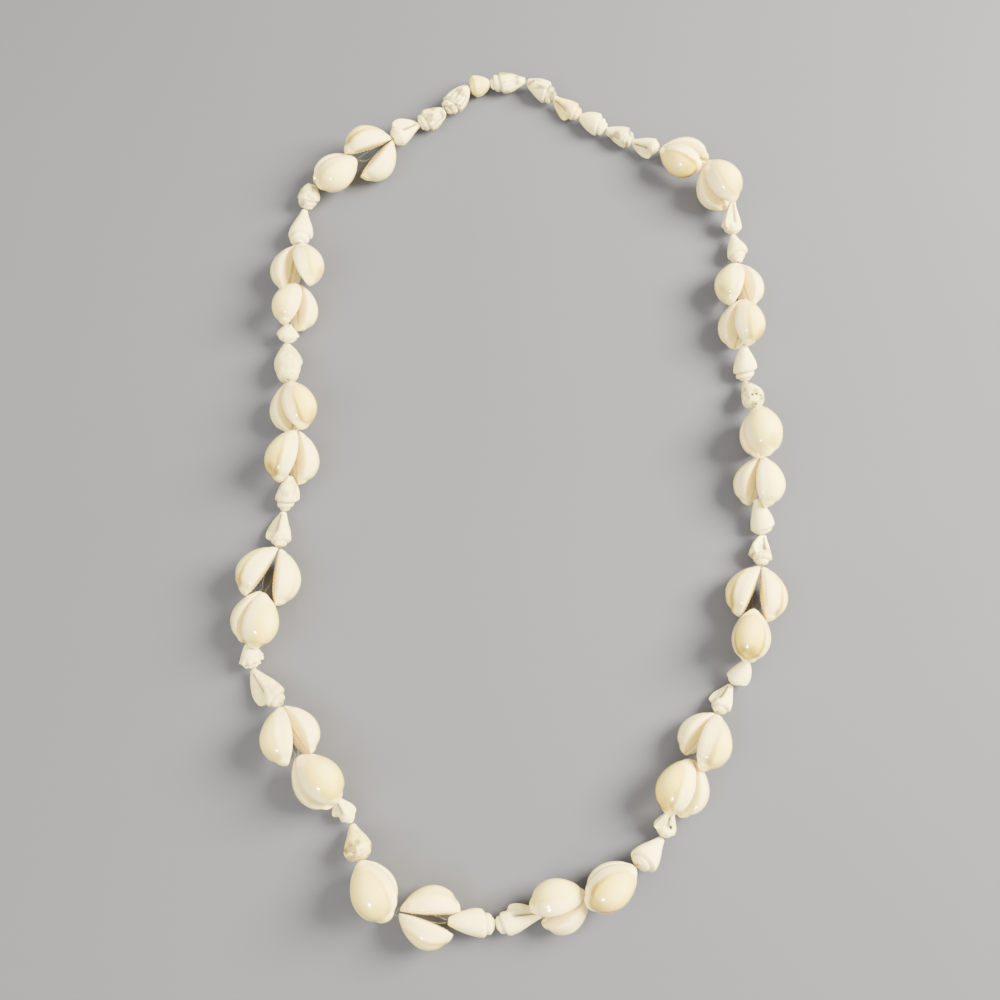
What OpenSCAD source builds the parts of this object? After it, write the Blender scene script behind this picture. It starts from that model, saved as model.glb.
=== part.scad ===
// A long necklace of ring cowries and small spiral shells, lying in an open loop.
// Millimetres, +Z up, the neck end of the loop toward +Y, the origin at the middle of the box on the ground.
// Each half is strung from the neck down, and in both every shell's narrow tip points to the neck.

/* [Cowries] */
// Width of a cowrie for each millimetre of its length
cowrie_wide = 0.70; // [0.66:0.01:0.71]
// Height of a cowrie's dome for each millimetre of its length
dome_high = 0.41; // [0.38:0.01:0.44]
// Height of a cowrie's ends over its base for each millimetre of its length
base_bulge = 0.06; // [0.05:0.01:0.07]
// Depth of the mouth groove along a cowrie's base
mouth_deep = 2.0; // [1.6:0.1:2.2]
// Room between the two cowries of a pair where their tips meet
tip_gap = 0.3; // [0.2:0.05:0.5]

/* [Small shells] */
// Radius at the narrow tip of a small shell
tip_radius = 1.7; // [1.6:0.1:1.9]
// Radius at the ground apex of a small shell
apex_radius = 1.8; // [1.7:0.1:2.0]
// Room between two small shells that follow each other
shell_gap = 0.5; // [0.4:0.1:0.8]
// Room for the thread between a small shell and the cowrie tips that follow it
thread_room = 1.1; // [0.9:0.1:1.4]
// Climb of the spiral in one turn, for each millimetre of a shell's length
spiral_climb = 0.12; // [0.06:0.01:0.14]
// Depth of the mouth of a small shell, as a share of its radius
mouth_share = 0.30; // [0.20:0.01:0.32]
// Stand of the lip out from a small shell, as a share of its radius
lip_share = 0.15; // [0.05:0.01:0.16]

/* [Thread] */
// Radius of each of the two strands
strand_radius = 0.25; // [0.20:0.01:0.26]
// Distance of a strand from the middle of a small shell's bore
strand_offset = 0.42; // [0.38:0.01:0.45]
// Distance of a strand from the middle plane of a pair of cowries
strand_apart = 0.6; // [0.5:0.05:0.6]
// Straight run of the strands out of each end of a small shell's bore
strand_out = 0.35; // [0.3:0.05:0.5]
// Radius of the bore through a small shell
shell_bore = 0.9; // [0.85:0.05:1.0]
// Radius of the bore through the tip of a cowrie
cowrie_bore = 0.65; // [0.60:0.05:0.70]

/* [Hidden] */
// Columns of the tables of cowrie pairs: place of the tips, turn away from the line of the string,
// rise toward the wide ends, roll about the string (0 is one above the other), half of the angle
// between the two, and their lengths
X = 0;
Y = 1;
LEAN = 2;
RISE = 3;
ROLL = 4;
OPEN = 5;
LONG_A = 6;
LONG_B = 7;

RIGHT_PAIRS = [
    [ 62.5,  138.0,   0,  5,  60,  9, 18.2, 18.8],
    [ 79.4,  130.2,  -7, -5, 156,  7, 19.4, 19.5],
    [ 90.3,   90.0,   0,  8,  68, 12, 19.0, 17.8],
    [ 90.0,   73.8,  -3, -8, 142,  8, 18.5, 18.0],
    [ 93.5,   32.7,   0,  5, 174,  7, 19.0, 20.5],
    [ 94.0,   13.6,   0, -5, 127,  9, 18.0, 18.5],
    [ 92.3,  -26.0,   2,  8, 100, 13, 20.0, 20.0],
    [ 88.0,  -41.2,   0, -5,  15,  7, 19.0, 18.5],
    [ 73.9,  -77.0,   0,  8, 130, 11, 17.5, 20.5],
    [ 64.7,  -91.9,   4, -5,  51,  6, 20.0, 19.5],
    [ 44.4, -126.3,   4,  0, 170,  7, 18.5, 20.5],
    [ 28.6, -135.2,   0, -8,  62,  9, 19.5, 18.0],
];

LEFT_PAIRS = [
    [-42.3,  141.5,   5,  5,  60, 15, 19.5, 19.2],
    [-55.4,  132.3,   4, -6, 135,  6, 18.5, 18.5],
    [-76.7,   97.0,  -2,  8, 115, 15, 19.0, 19.5],
    [-75.4,   81.0,   5,  2,  43,  8, 18.0, 18.0],
    [-77.5,   42.0,   0,  0, 130,  6, 19.0, 19.5],
    [-73.3,   23.2,   0, -5,  50,  9, 20.0, 19.5],
    [-78.5,  -19.5,   0,  8,  75, 15, 20.5, 20.5],
    [-82.8,  -35.3,   0, -10, 128,  6, 19.0, 19.5],
    [-74.5,  -74.5,   0,  8,  55, 12, 20.5, 19.0],
    [-68.0,  -91.0,  -5, -5, 145,  6, 20.5, 20.5],
    [-46.2, -124.4, -10,  0,   8,  7, 21.0, 19.0],
    [-32.6, -140.2,   0, -8,  80, 10, 19.0, 20.0],
];

// Columns of the tables of small shells: place and height of the tip, roll about the string (0 has the
// mouth below), width, and height of the knobs at the shoulder
HIGH = 2;
SHELL_ROLL = 3;
WIDE = 4;
KNOBS = 5;

RIGHT_SHELLS = [
    [ 10.5,  169.5,  4.8,    0,  8.6, 0.3],
    [ 21.5,  162.0,  4.4, -125,  7.8, 0.0],
    [ 31.5,  154.0,  4.1,   10,  8.8, 0.0],
    [ 41.5,  148.0,  4.4,  -10,  8.4, 0.2],
    [ 52.0,  143.0,  4.0, -130,  7.6, 0.2],
    [ 88.6,  115.0,  8.8,  170,  8.4, 0.0],
    [ 89.3,  103.5,  3.4,    0,  8.6, 0.3],
    [ 90.0,   57.3,  7.8,    0,  9.2, 0.0],
    [ 91.0,   44.5,  2.3,    0,  9.2, 0.4],
    [ 92.0,   -0.9,  7.0,    0,  9.2, 0.0],
    [ 94.5,  -13.5,  2.6,  170,  9.2, 0.2],
    [ 85.5,  -59.0,  8.0,    0,  9.0, 0.0],
    [ 80.5,  -66.5,  2.3, -130,  8.2, 0.0],
    [ 57.4, -108.5,  7.0,  150,  8.4, 0.2],
    [ 55.0, -117.5,  2.3,    0, 11.6, 0.0],
    [ 13.7, -141.2,  6.0, -140,  9.2, 0.0],
];

LEFT_SHELLS = [
    [ 10.5,  169.5,  4.8,    0,  8.2, 0.4],
    [ -4.0,  168.6,  4.6,  -20,  8.2, 0.0],
    [-12.5,  167.0,  4.9,    0,  8.6, 0.4],
    [-21.5,  156.0,  4.9,   10,  8.6, 0.3],
    [-32.0,  150.5,  4.1, -145,  8.8, 0.0],
    [-72.2,  123.5,  7.4,    0,  8.4, 0.3],
    [-75.5,  114.5,  2.6,    0,  9.2, 0.0],
    [-78.3,   65.2,  8.3,   30,  8.1, 0.4],
    [-80.0,   60.0,  2.6,   20, 10.2, 0.3],
    [-75.3,    7.2,  8.1,    0,  9.0, 0.3],
    [-78.2,   -5.0,  2.6, -130,  9.2, 0.0],
    [-87.3,  -52.5,  7.2,  -40,  8.4, 0.4],
    [-86.5,  -61.3,  2.8, -130, 10.0, 0.2],
    [-54.5, -104.5,  8.0, -130,  8.4, 0.0],
    [-50.0, -112.8,  2.4,    0,  9.2, 0.3],
    [-17.2, -143.4,  5.7,    0,  9.4, 0.2],
];

// Where the last shells of both halves meet, apex to apex
MEETING = [-1.5, -145.0, 3.9];

// Shells of the neck run of each half, pairs in a half, and small shells in a half
NECK_SHELLS = 5;
PAIRS = 12;
SHELLS = 16;
BEADS = PAIRS + SHELLS;

// Corners of a cowrie's section as angles, the first one being the bottom of the mouth groove
COWRIE_ANGLES = [-90, -80, -40, 0, 30, 60, 90, 120, 150, 180, 220, 260];
COWRIE_RINGS = 6;

// Rings of a small shell: place along its length and radius, as a share of its half width
RING_AT = [0, 0.14, 0.32, 0.50, 0.60, 0.68, 0.72, 0.82, 0.88, 1];
RING_RADIUS = [0, 0.46, 0.76, 0.96, 1.0, 0.84, 0.68, 0.64, 0.48, 0];
SHELL_SIDES = 10;
LAST_RING = len(RING_AT) - 1;

// Ring of a small shell's shoulder, where its knobs stand and its mouth ends
SHOULDER = 4;

// Turns of a small shell's mouth and of its lip away from straight down
MOUTH_TURN = 20;
LIP_TURN = 55;

// Sides of a strand of the thread and of a bore
STRAND_SIDES = 4;
ROUND = 24;

// Bore of a cowrie: its start over the tip, and its end along the shell and up from the base
BORE_OVER = 1;
BORE_ALONG = 0.27;
BORE_UP = 0.6;

// Place where a strand runs free between the two cowries of a pair, and how far before the next bead it
// turns at the latest
FREE_ALONG = 0.72;
FREE_BACK = 3;

// Kind and place of each bead on one half, from the neck down: two pairs and two small shells in turn
function cluster_step(i) = (i - NECK_SHELLS) % 4;
function cluster_of(i) = floor((i - NECK_SHELLS) / 4);
function is_pair(i) = i >= NECK_SHELLS && i < BEADS && cluster_step(i) < 2;
function pair_index(i) = 2 * cluster_of(i) + cluster_step(i);
function shell_index(i) = i < NECK_SHELLS ? i : NECK_SHELLS + 2 * cluster_of(i) + cluster_step(i) - 2;

// Row of a bead in its table, and its place on the ground plane
function row(side, i) =
    is_pair(i) ? (side > 0 ? RIGHT_PAIRS : LEFT_PAIRS)[pair_index(i)]
    : (side > 0 ? RIGHT_SHELLS : LEFT_SHELLS)[shell_index(i)];
function spot(side, i) = i == BEADS ? [MEETING.x, MEETING.y] : [row(side, i)[X], row(side, i)[Y]];

// Heading of the string at a bead and the room up to the next one
function step_on(side, i) = spot(side, i + 1) - spot(side, i);
function heading(side, i) =
    atan2(step_on(side, i).y, step_on(side, i).x) + (is_pair(i) ? row(side, i)[LEAN] : 0);
function room(side, i) = norm(step_on(side, i));

// Turns of a point about the string, up toward the far end, and about the upright
function rolled(p, a) = [p.x, p.y * cos(a) - p.z * sin(a), p.y * sin(a) + p.z * cos(a)];
function raised(p, a) = [p.x * cos(a) - p.z * sin(a), p.y, p.x * sin(a) + p.z * cos(a)];
function headed(p, a) = [p.x * cos(a) - p.y * sin(a), p.x * sin(a) + p.y * cos(a), p.z];
function mirrored(p) = [p.x, p.y, -p.z];
function placed(p, roll, rise, turn) = headed(raised(rolled(p, roll), rise), turn);

// Egg outline of a cowrie: 0 at the narrow tip, 1 at the fullest, 0 at the wide end
function fullness(t) = pow(sin(180 * pow(t, 1.18)), 0.52);
function ring_place(k) = (1 - cos(180 * k / (COWRIE_RINGS + 1))) / 2;

// Points of a cowrie along +X from its tip, the base on the ground plane and the dome up: the shell is
// widest at its margin, and rounds in below it toward the base
function cowrie_corner(long, t, full, c) =
    let (
        a = COWRIE_ANGLES[c],
        margin = base_bulge * long * (1 + full),
        base = base_bulge * long * (1 - full),
        top = (base_bulge + dome_high * full) * long,
        height = sin(a) > 0 ? margin + (top - margin) * sin(a) : margin - (margin - base) * sqrt(-sin(a))
    )
    [
        t * long,
        cowrie_wide / 2 * long * full * cos(a),
        height + (c == 0 ? mouth_deep * full : 0),
    ];
function cowrie_points(long) = [
    [0, 0, base_bulge * long],
    for (k = [1 : COWRIE_RINGS])
        let (t = ring_place(k), full = fullness(t))
        for (c = [0 : len(COWRIE_ANGLES) - 1]) cowrie_corner(long, t, full, c),
    [long, 0, base_bulge * long],
];

// Triangles between rings of corners that run the same way round
function band(first, sides) = [
    for (c = [0 : sides - 1])
        let (a = first + c, b = first + (c + 1) % sides)
        each [[a, a + sides, b], [b, a + sides, b + sides]],
];
function cowrie_faces() =
    let (n = len(COWRIE_ANGLES), last = 1 + COWRIE_RINGS * n)
    [
        for (c = [0 : n - 1]) [0, 1 + c, 1 + (c + 1) % n],
        for (k = [0 : COWRIE_RINGS - 2]) each band(1 + k * n, n),
        for (c = [0 : n - 1]) [last - n + c, last, last - n + (c + 1) % n],
    ];

// Distance that a cowrie, opened out from the middle plane of its pair, is moved back toward it
function sink(long, open) = min([for (p = cowrie_points(long)) raised(p, open).z]) - tip_gap / 2;

// Line of the bore of a cowrie, from just before its tip into the mouth groove
function bore_start(long) = [0, 0, base_bulge * long + BORE_OVER];
function bore_end(long) = [BORE_ALONG * long, 0, BORE_UP];

// Points of one cowrie in its pair: half is 1 for the one above at a roll of 0, and -1 for the other
function opened(points, long, open, half) =
    let (down = [0, 0, sink(long, open)])
    [for (p = points) let (q = raised(p, open) - down) half > 0 ? q : mirrored(q)];
function pair_points(r) = concat(
    opened(cowrie_points(r[LONG_A]), r[LONG_A], r[OPEN], 1),
    opened(cowrie_points(r[LONG_B]), r[LONG_B], r[OPEN], -1)
);
function resting_height(side, i) =
    let (r = row(side, i))
    -min([for (p = pair_points(r)) placed(p, r[ROLL], r[RISE], 0).z]);

// Height of the string before each bead: pairs rest on the ground by their lowest corner
HEIGHTS = [
    for (side = [-1, 1]) [
        for (i = [0 : BEADS])
            i == BEADS ? MEETING.z
            : is_pair(i) ? resting_height(side, i)
            : row(side, i)[HIGH],
    ],
];
function height(side, i) = HEIGHTS[side > 0 ? 1 : 0][i];
function rise(side, i) =
    is_pair(i) ? row(side, i)[RISE]
    : atan2(height(side, i + 1) - height(side, i), room(side, i));

// Way that the string runs through a bead, going round from one half to the other at both ends
function way(side, i) =
    i < 0 ? -way(-side, 0)
    : i == BEADS ? -way(-side, BEADS - 1)
    : headed(raised([1, 0, 0], rise(side, i)), heading(side, i));

// Room that a small shell leaves before bead i, more where the string bends
function bend(side, i) = acos(min(1, way(side, i - 1) * way(side, i)));
function joint_room(side, i) =
    (is_pair(i) ? thread_room : shell_gap / 2) + apex_radius * tan(bend(side, i) / 2);
function shell_long(side, i) =
    room(side, i) / cos(rise(side, i)) - joint_room(side, i) - joint_room(side, i + 1);

// Radius of a small shell at a ring and an angle, with its mouth below and its lip to the left
function knob(k, c) = k == SHOULDER ? (c % 2 == 0 ? 1 : -1) : 0;
function at_mouth(k) = k > 0 && k <= SHOULDER;
function mouth_dip(k, a) = at_mouth(k) ? max(0, cos(a + MOUTH_TURN)) * mouth_share : 0;
function lip_flare(k, a) = at_mouth(k) ? lip_share * pow(max(0, cos(a - LIP_TURN)), 4) : 0;
function shell_radius(r, k, c) =
    let (a = 360 * c / SHELL_SIDES)
    k == 0 ? tip_radius
    : k == LAST_RING ? apex_radius
    : r[WIDE] / 2 * RING_RADIUS[k] * (1 - mouth_dip(k, a) + lip_flare(k, a)) + r[KNOBS] * knob(k, c);
function shell_climb(k, c) = k < SHOULDER || k == LAST_RING ? 0 : spiral_climb * (c / SHELL_SIDES - 0.5);
function shell_corner(r, long, k, c) =
    let (a = 360 * c / SHELL_SIDES - 90, size = shell_radius(r, k, c))
    [long * (RING_AT[k] + shell_climb(k, c)), size * cos(a), size * sin(a)];
function shell_points(r, long) =
    [for (k = [0 : LAST_RING]) for (c = [0 : SHELL_SIDES - 1]) shell_corner(r, long, k, c)];
function shell_faces() = [
    [for (c = [0 : SHELL_SIDES - 1]) c],
    for (k = [0 : LAST_RING - 1]) each band(k * SHELL_SIDES, SHELL_SIDES),
    [for (c = [SHELL_SIDES - 1 : -1 : 0]) LAST_RING * SHELL_SIDES + c],
];

// Middle of the box round all the beads, which is moved to the origin
function bead_points(side, i) =
    let (r = row(side, i), turn = heading(side, i), at = spot(side, i))
    is_pair(i)
    ? [for (p = pair_points(r)) placed(p, r[ROLL], r[RISE], turn) + [at.x, at.y, 0]]
    : let (start = [joint_room(side, i), 0, 0], up = rise(side, i))
    [
        for (p = shell_points(r, shell_long(side, i)))
            placed(p + start, r[SHELL_ROLL], up, turn) + [at.x, at.y, 0]
    ];
ALL_POINTS = [for (side = [-1, 1]) for (i = [0 : BEADS - 1]) each bead_points(side, i)];
ALL_X = [for (p = ALL_POINTS) p.x];
ALL_Y = [for (p = ALL_POINTS) p.y];
MIDDLE = [(min(ALL_X) + max(ALL_X)) / 2, (min(ALL_Y) + max(ALL_Y)) / 2];
function base_point(side, i) =
    let (at = spot(side, i) - MIDDLE)
    [at.x, at.y, height(side, i)];

// Where a strand enters and leaves a bead: through the tip of its own cowrie of each pair, and side by
// side with the other strand in the small shells
function strand_in_pair(side, i, half) =
    let (
        r = row(side, i),
        long = half > 0 ? r[LONG_A] : r[LONG_B],
        turn = heading(side, i),
        bore = opened([bore_start(long), bore_end(long)], long, r[OPEN], half),
        middle = [min(FREE_ALONG * long, room(side, i) - FREE_BACK), 0, half * strand_apart],
        next = headed([room(side, i), 0, room(side, i) * tan(r[RISE])], turn - r[LEAN] / 2),
        apart = placed([0, 0, half * strand_apart], r[ROLL], r[RISE], turn)
    )
    [
        for (p = [each bore, middle]) placed(p, r[ROLL], r[RISE], turn),
        next - thread_room * way(side, i) + apart,
    ];
function strand_reach(i) = is_pair(i) ? strand_out : shell_gap / 4;
function strand_in_shell(side, i, half) =
    let (
        near = joint_room(side, i) - strand_reach(i - 1),
        far = joint_room(side, i) + shell_long(side, i) + strand_reach(i + 1),
        apart = headed([0, -half * strand_offset, 0], heading(side, i))
    )
    [for (x = [near, far]) x * way(side, i) + apart];
function strand_at(side, i, half) = [
    for (p = is_pair(i) ? strand_in_pair(side, i, half) : strand_in_shell(side, i, half))
        p + base_point(side, i)
];
function half_route(side, half) = [for (i = [0 : BEADS - 1]) each strand_at(side, i, half)];
function backward(list) = [for (i = [len(list) - 1 : -1 : 0]) list[i]];
function strand_route(half) = concat(half_route(1, half), backward(half_route(-1, -half)));

// A closed sweep with four sides along a closed route
function unit(v) = v / norm(v);
function route_corner(route, i, c) =
    let (
        n = len(route),
        along = unit(unit(route[(i + 1) % n] - route[i]) + unit(route[i] - route[(i + n - 1) % n])),
        across = unit(cross([0, 0, 1], along)),
        up = cross(along, across),
        a = 360 * c / STRAND_SIDES
    )
    route[i] + strand_radius * (cos(a) * across + sin(a) * up);
function sweep_points(route) =
    [for (i = [0 : len(route) - 1]) for (c = [0 : STRAND_SIDES - 1]) route_corner(route, i, c)];
function sweep_faces(route) = let (count = len(route)) [
    for (i = [0 : count - 1]) for (c = [0 : STRAND_SIDES - 1])
        let (
            a = i * STRAND_SIDES + c,
            b = i * STRAND_SIDES + (c + 1) % STRAND_SIDES,
            d = ((i + 1) % count) * STRAND_SIDES + c,
            e = ((i + 1) % count) * STRAND_SIDES + (c + 1) % STRAND_SIDES
        )
        each [[a, d, b], [b, d, e]],
];

// One cowrie with the bore through its tip
module cowrie(long) {
    from = bore_start(long);
    to = bore_end(long);
    difference() {
        polyhedron(cowrie_points(long), cowrie_faces());
        translate(from)
            rotate([0, 90 + atan2(from.z - to.z, to.x - from.x), 0])
                cylinder(h = 2 * norm(to - from), r = cowrie_bore, center = true, $fn = ROUND);
    }
}

// Two cowries base to base, joined at their tips
module cowrie_pair(side, i) {
    r = row(side, i);
    color("ivory")
        translate(base_point(side, i))
            rotate([0, 0, heading(side, i)])
                rotate([0, -r[RISE], 0])
                    rotate([r[ROLL], 0, 0]) {
                        opened_cowrie(r[LONG_A], r[OPEN]);
                        mirror([0, 0, 1])
                            opened_cowrie(r[LONG_B], r[OPEN]);
                    }
}

module opened_cowrie(long, open) {
    translate([0, 0, -sink(long, open)])
        rotate([0, -open, 0])
            cowrie(long);
}

// One small spiral shell, drilled from tip to apex
module small_shell(side, i) {
    r = row(side, i);
    long = shell_long(side, i);
    color("seashell")
        translate(base_point(side, i))
            rotate([0, 0, heading(side, i)])
                rotate([0, -rise(side, i), 0])
                    rotate([r[SHELL_ROLL], 0, 0])
                        translate([joint_room(side, i), 0, 0])
                            difference() {
                                polyhedron(shell_points(r, long), shell_faces());
                                translate([-1, 0, 0])
                                    rotate([0, 90, 0])
                                        cylinder(h = long + 2, r = shell_bore, $fn = ROUND);
                            }
}

// A run of small shells that follow each other
module shell_run(side, first, last) {
    for (i = [first : last])
        small_shell(side, i);
}

// Both strands of the thread, closed all the way round
module thread() {
    color("white")
        for (half = [-1, 1])
            polyhedron(sweep_points(strand_route(half)), sweep_faces(strand_route(half)));
}

// Names of the two sides, of the pairs and of the two small shells below each cluster
function side_name(side) = side > 0 ? "right" : "left";
function pair_name(side, k) = str("cowrie_pair_", side_name(side), "_", k + 1);
function spacer_name(side, k) = str("spacer_shells_", side_name(side), "_", k + 1);
function bead_of_pair(k) = NECK_SHELLS + 4 * floor(k / 2) + k % 2;
function bead_of_spacer(k) = NECK_SHELLS + 4 * k + 2;
SPACERS = 5;

for (side = [1, -1]) {
    for (k = [0 : PAIRS - 1])
        cowrie_pair(side, bead_of_pair(k));
    shell_run(side, 0, NECK_SHELLS - 1);
    for (k = [0 : SPACERS - 1])
        shell_run(side, bead_of_spacer(k), bead_of_spacer(k) + 1);
}
union() {  // bottom_shells
    small_shell(1, BEADS - 1);
    small_shell(-1, BEADS - 1);
}
thread();
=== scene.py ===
"""Looks of a long shell necklace: ring cowries in pairs, small spiral shells and their thread."""

import math
import random
from collections import namedtuple

import bmesh
import bpy
import numpy as np
from mathutils import Matrix, Vector, noise


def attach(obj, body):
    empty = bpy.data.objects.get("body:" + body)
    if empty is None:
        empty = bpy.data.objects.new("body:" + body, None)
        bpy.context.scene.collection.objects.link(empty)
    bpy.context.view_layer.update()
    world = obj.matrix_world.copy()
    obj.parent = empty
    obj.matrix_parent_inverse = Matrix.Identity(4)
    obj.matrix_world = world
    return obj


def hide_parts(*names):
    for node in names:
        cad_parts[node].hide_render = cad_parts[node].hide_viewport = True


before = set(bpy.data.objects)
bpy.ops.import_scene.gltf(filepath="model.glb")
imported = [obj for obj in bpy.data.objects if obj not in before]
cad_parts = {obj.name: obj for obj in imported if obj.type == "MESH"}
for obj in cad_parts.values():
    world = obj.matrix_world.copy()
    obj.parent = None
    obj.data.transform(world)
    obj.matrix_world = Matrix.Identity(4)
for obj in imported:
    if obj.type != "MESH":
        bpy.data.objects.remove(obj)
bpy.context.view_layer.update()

MM = 0.001
BODY = "root"

# The string, in the millimetres and degrees of the part's source

# Two cowries base to base: where their tips are, turn away from the line of the string, rise toward the wide
# ends, roll about the string, half of the angle between them and their lengths; then how strong the ring, the
# yellow inside it and the spot are on the back of each one
Pair = namedtuple("Pair", "x y lean rise roll open long_a long_b ring_a fill_a spot_a ring_b fill_b spot_b")
RIGHT_PAIRS = [
    Pair(62.5, 138, 0, 5, 60, 9, 18.2, 18.8, 1, 1, 0.5, 0.1, 0.1, 0),
    Pair(79.4, 130.2, -7, -5, 156, 7, 19.4, 19.5, 0.1, 0.1, 0, 0.45, 0.608, 0.36),
    Pair(90.3, 90, 0, 8, 68, 12, 19, 17.8, 0.22, 0.27, 0.6, 0.1, 0.1, 0),
    Pair(90, 73.8, -3, -8, 142, 8, 18.5, 18, 0.1, 0.203, 0.12, 0.75, 0.81, 1),
    Pair(93.5, 32.7, 0, 5, 174, 7, 19, 20.5, 0.1, 0.1, 0, 0.22, 0.472, 0.48),
    Pair(94, 13.6, 0, -5, 127, 9, 18, 18.5, 0.1, 0.1, 0, 0.1, 0.1, 0),
    Pair(92.3, -26, 2, 8, 100, 13, 20, 20, 1, 0.675, 0.12, 0.9, 0.54, 0.12),
    Pair(88, -41.2, 0, -5, 15, 7, 19, 18.5, 1, 1, 2, 0.1, 0.1, 0),
    Pair(73.9, -77, 0, 8, 130, 11, 17.5, 20.5, 0.22, 0.27, 0, 0.75, 0.675, 0.36),
    Pair(64.7, -91.9, 4, -5, 51, 6, 20, 19.5, 0.75, 1, 0.24, 0.1, 0.1, 0),
    Pair(44.4, -126.3, 4, 0, 170, 7, 18.5, 20.5, 0.1, 0.1, 0, 1, 1, 0.24),
    Pair(28.6, -135.2, 0, -8, 62, 9, 19.5, 18, 0.3, 0.405, 0.24, 0.22, 0.1, 0),
]
LEFT_PAIRS = [
    Pair(-42.3, 141.5, 5, 5, 60, 15, 19.5, 19.2, 0.95, 0.5, 0.12, 0.1, 0.1, 0),
    Pair(-55.4, 132.3, 4, -6, 135, 6, 18.5, 18.5, 0.1, 0.1, 0, 0.38, 0.27, 0.12),
    Pair(-76.7, 97, -2, 8, 115, 15, 19, 19.5, 0.1, 0.1, 0, 0.45, 0.405, 0.84),
    Pair(-75.4, 81, 5, 2, 43, 8, 18, 18, 0.22, 0.405, 0.12, 0.1, 0.1, 0),
    Pair(-77.5, 42, 0, 0, 130, 6, 19, 19.5, 0.1, 0.1, 0, 1, 0.945, 0.6),
    Pair(-73.3, 23.2, 0, -5, 50, 9, 20, 19.5, 1, 1, 1, 0.22, 0.1, 0),
    Pair(-78.5, -19.5, 0, 8, 75, 15, 20.5, 20.5, 0.9, 0.405, 0.72, 0.3, 0.1, 0),
    Pair(-82.8, -35.3, 0, -10, 128, 6, 19, 19.5, 0.1, 0.405, 0, 0.22, 0.81, 0),
    Pair(-74.5, -74.5, 0, 8, 55, 12, 20.5, 19, 0.38, 0.405, 0.24, 0.22, 0.1, 0),
    Pair(-68, -91, -5, -5, 145, 6, 20.5, 20.5, 0.1, 0.27, 0, 0.45, 0.945, 0.12),
    Pair(-46.2, -124.4, -10, 0, 8, 7, 21, 19, 0.52, 0.81, 0.24, 0.1, 0.1, 0),
    Pair(-32.6, -140.2, 0, -8, 80, 10, 19, 20, 0.7, 0.4, 0.12, 0.4, 0.2, 0),
]

# Small shells: place and height of the tip, roll about the string, width of the shell and height of its
# knobs; then the shoulder's place, how far the body bends in before it, how deep the seams are, the width
# left near the apex, how far the lip stands out, how deep the mouth's valley is, how ribbed, cream, grey and
# pitted the shell is, and its worn holes
Small = namedtuple(
    "Small",
    "x y high roll wide knobs shoulder ease step neck wing valley ribs cream grey pits holes",
    defaults=((),),
)
# Each hole's place along the shell, degrees round it and size
ROW_OF_HOLES = ((0.82, 106, 0.05), (0.84, 80, 0.055), (0.86, 52, 0.055), (0.16, 75, 0.1))
WORN_THROUGH = ((0.5, -120, 0.09), (0.24, -88, 0.12))
RIGHT_SMALL = [
    Small(10.5, 169.5, 4.8, 0, 8.6, 0.15, 0.6, -0.1, 0.7, 0.66, 0, 0.2, 0.1, 0.1, 1, 0.2),
    Small(21.5, 162, 4.4, -108, 7.8, 0, 0.62, 0.8, 0.6, 0.62, 0.3, 0.9, 0, 0.8, 0.2, 0),
    Small(31.5, 154, 4.1, 10, 8.8, 0, 0.58, -0.2, 0.8, 0.62, 0, 0.2, 0, 0.1, 0.15, 0),
    Small(41.5, 148, 4.4, -10, 8.4, 0.15, 0.66, 0.2, 0.6, 0.66, 0, 0.2, 0.3, 0.2, 0.9, 0.2),
    Small(52, 143, 4, -108, 7.6, 0, 0.7, 0.3, 0.3, 0.6, 0.28, 1, 0, 0.1, 0.2, 0),
    Small(88.6, 115, 8.8, 170, 8.4, 0, 0.72, 0.9, 0.3, 0.66, 0.1, 0.8, 0, 0.3, 0.3, 0),
    Small(89.3, 103.5, 3.4, 0, 8.6, 0, 0.58, 0.6, 0.9, 0.5, 0, 0.2, 0, 0.1, 0.05, 0),
    Small(90, 57.3, 7.8, 0, 9.2, 0, 0.62, 0.4, 0.8, 0.64, 0, 0.2, 0, 0.1, 0.1, 0),
    Small(91, 44.5, 2.3, 0, 8.6, 0.1, 0.66, 0.2, 0.2, 0.8, 0, 0.2, 0.2, 0.2, 0.8, 0.3, ROW_OF_HOLES),
    Small(92, -0.9, 7, 0, 9.2, 0, 0.74, 0.35, 0.3, 0.72, 0, 0.2, 0, 0.1, 0.1, 0),
    Small(94.5, -13.5, 2.6, 170, 9.2, 0.2, 0.62, 0.6, 0.7, 0.5, 0.18, 1, 0.1, 0.15, 0.5, 0.1),
    Small(85.5, -59, 8, 0, 9, 0, 0.68, -0.2, 0.8, 0.5, 0, 0.2, 0, 0.05, 0.1, 0),
    Small(80.5, -66.5, 2.3, -118, 8.2, 0, 0.66, 0.5, 0.6, 0.6, 0.2, 1, 0, 0.1, 0.35, 0),
    Small(57.4, -108.5, 7, 180, 8.4, 0.2, 0.62, 0.5, 0.7, 0.56, 0.16, 0.8, 0.2, 0.15, 0.3, 0.3, WORN_THROUGH),
    Small(55, -117.5, 2.3, 0, 10.6, 0, 0.74, 0.5, 0.5, 0.66, 0, 0.2, 0, 0.05, 0.1, 0),
    Small(13.7, -141.2, 6, -120, 9.2, 0, 0.64, 0.6, 0.75, 0.65, 0.26, 1, 0, 0.1, 0.2, 0),
]
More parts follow.
